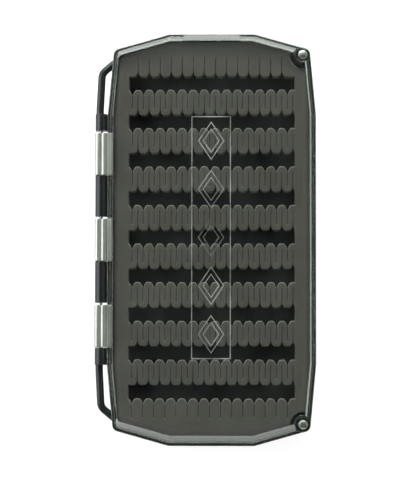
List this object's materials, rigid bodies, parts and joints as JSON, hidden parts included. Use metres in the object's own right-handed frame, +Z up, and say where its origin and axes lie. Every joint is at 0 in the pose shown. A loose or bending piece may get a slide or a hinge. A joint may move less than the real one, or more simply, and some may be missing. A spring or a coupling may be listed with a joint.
{
  "type": "fly box",
  "caption": "Flat hinged fishing fly case with a clear lid, slotted foam insert, side hinge, corner magnets and lanyard loops.",
  "frame": {"origin": "middle of the case's underside, without the hinge", "axes": "+Z up through the lid, +Y along the case's length and the hinge, +X away from the hinge to the magnets"},
  "size_m": [0.0986, 0.1838, 0.026],
  "materials": {
    "black_plastic": "fine moulded texture",
    "gasket_rubber": "matt",
    "steel": "satin",
    "backing_foam": "matt foam",
    "grey_foam": "matt closed-cell foam",
    "magnet_nickel": "satin nickel",
    "smoke_plastic": "clear, lightly smoked polycarbonate"
  },
  "bodies": {
    "base": {"base_tray": "black_plastic", "rim_gasket": "gasket_rubber", "hinge_rod": "steel", "foam_backing": "backing_foam", "foam_insert": "grey_foam", "base_magnet_upper": "magnet_nickel", "base_magnet_lower": "magnet_nickel"},
    "lid": {"lid_shell": "smoke_plastic", "hinge_knuckle_upper": "steel", "hinge_knuckle_middle": "steel", "hinge_knuckle_lower": "steel", "lid_magnet_upper": "magnet_nickel", "lid_magnet_lower": "magnet_nickel"}
  },
  "joints": [
    {"name": "lid_hinge", "type": "hinge", "parent": "base", "child": "lid", "pos_m": [-0.0494, 0, 0.013], "axis": [0, -1, 0], "range_deg": [0, 180]}
  ]
}
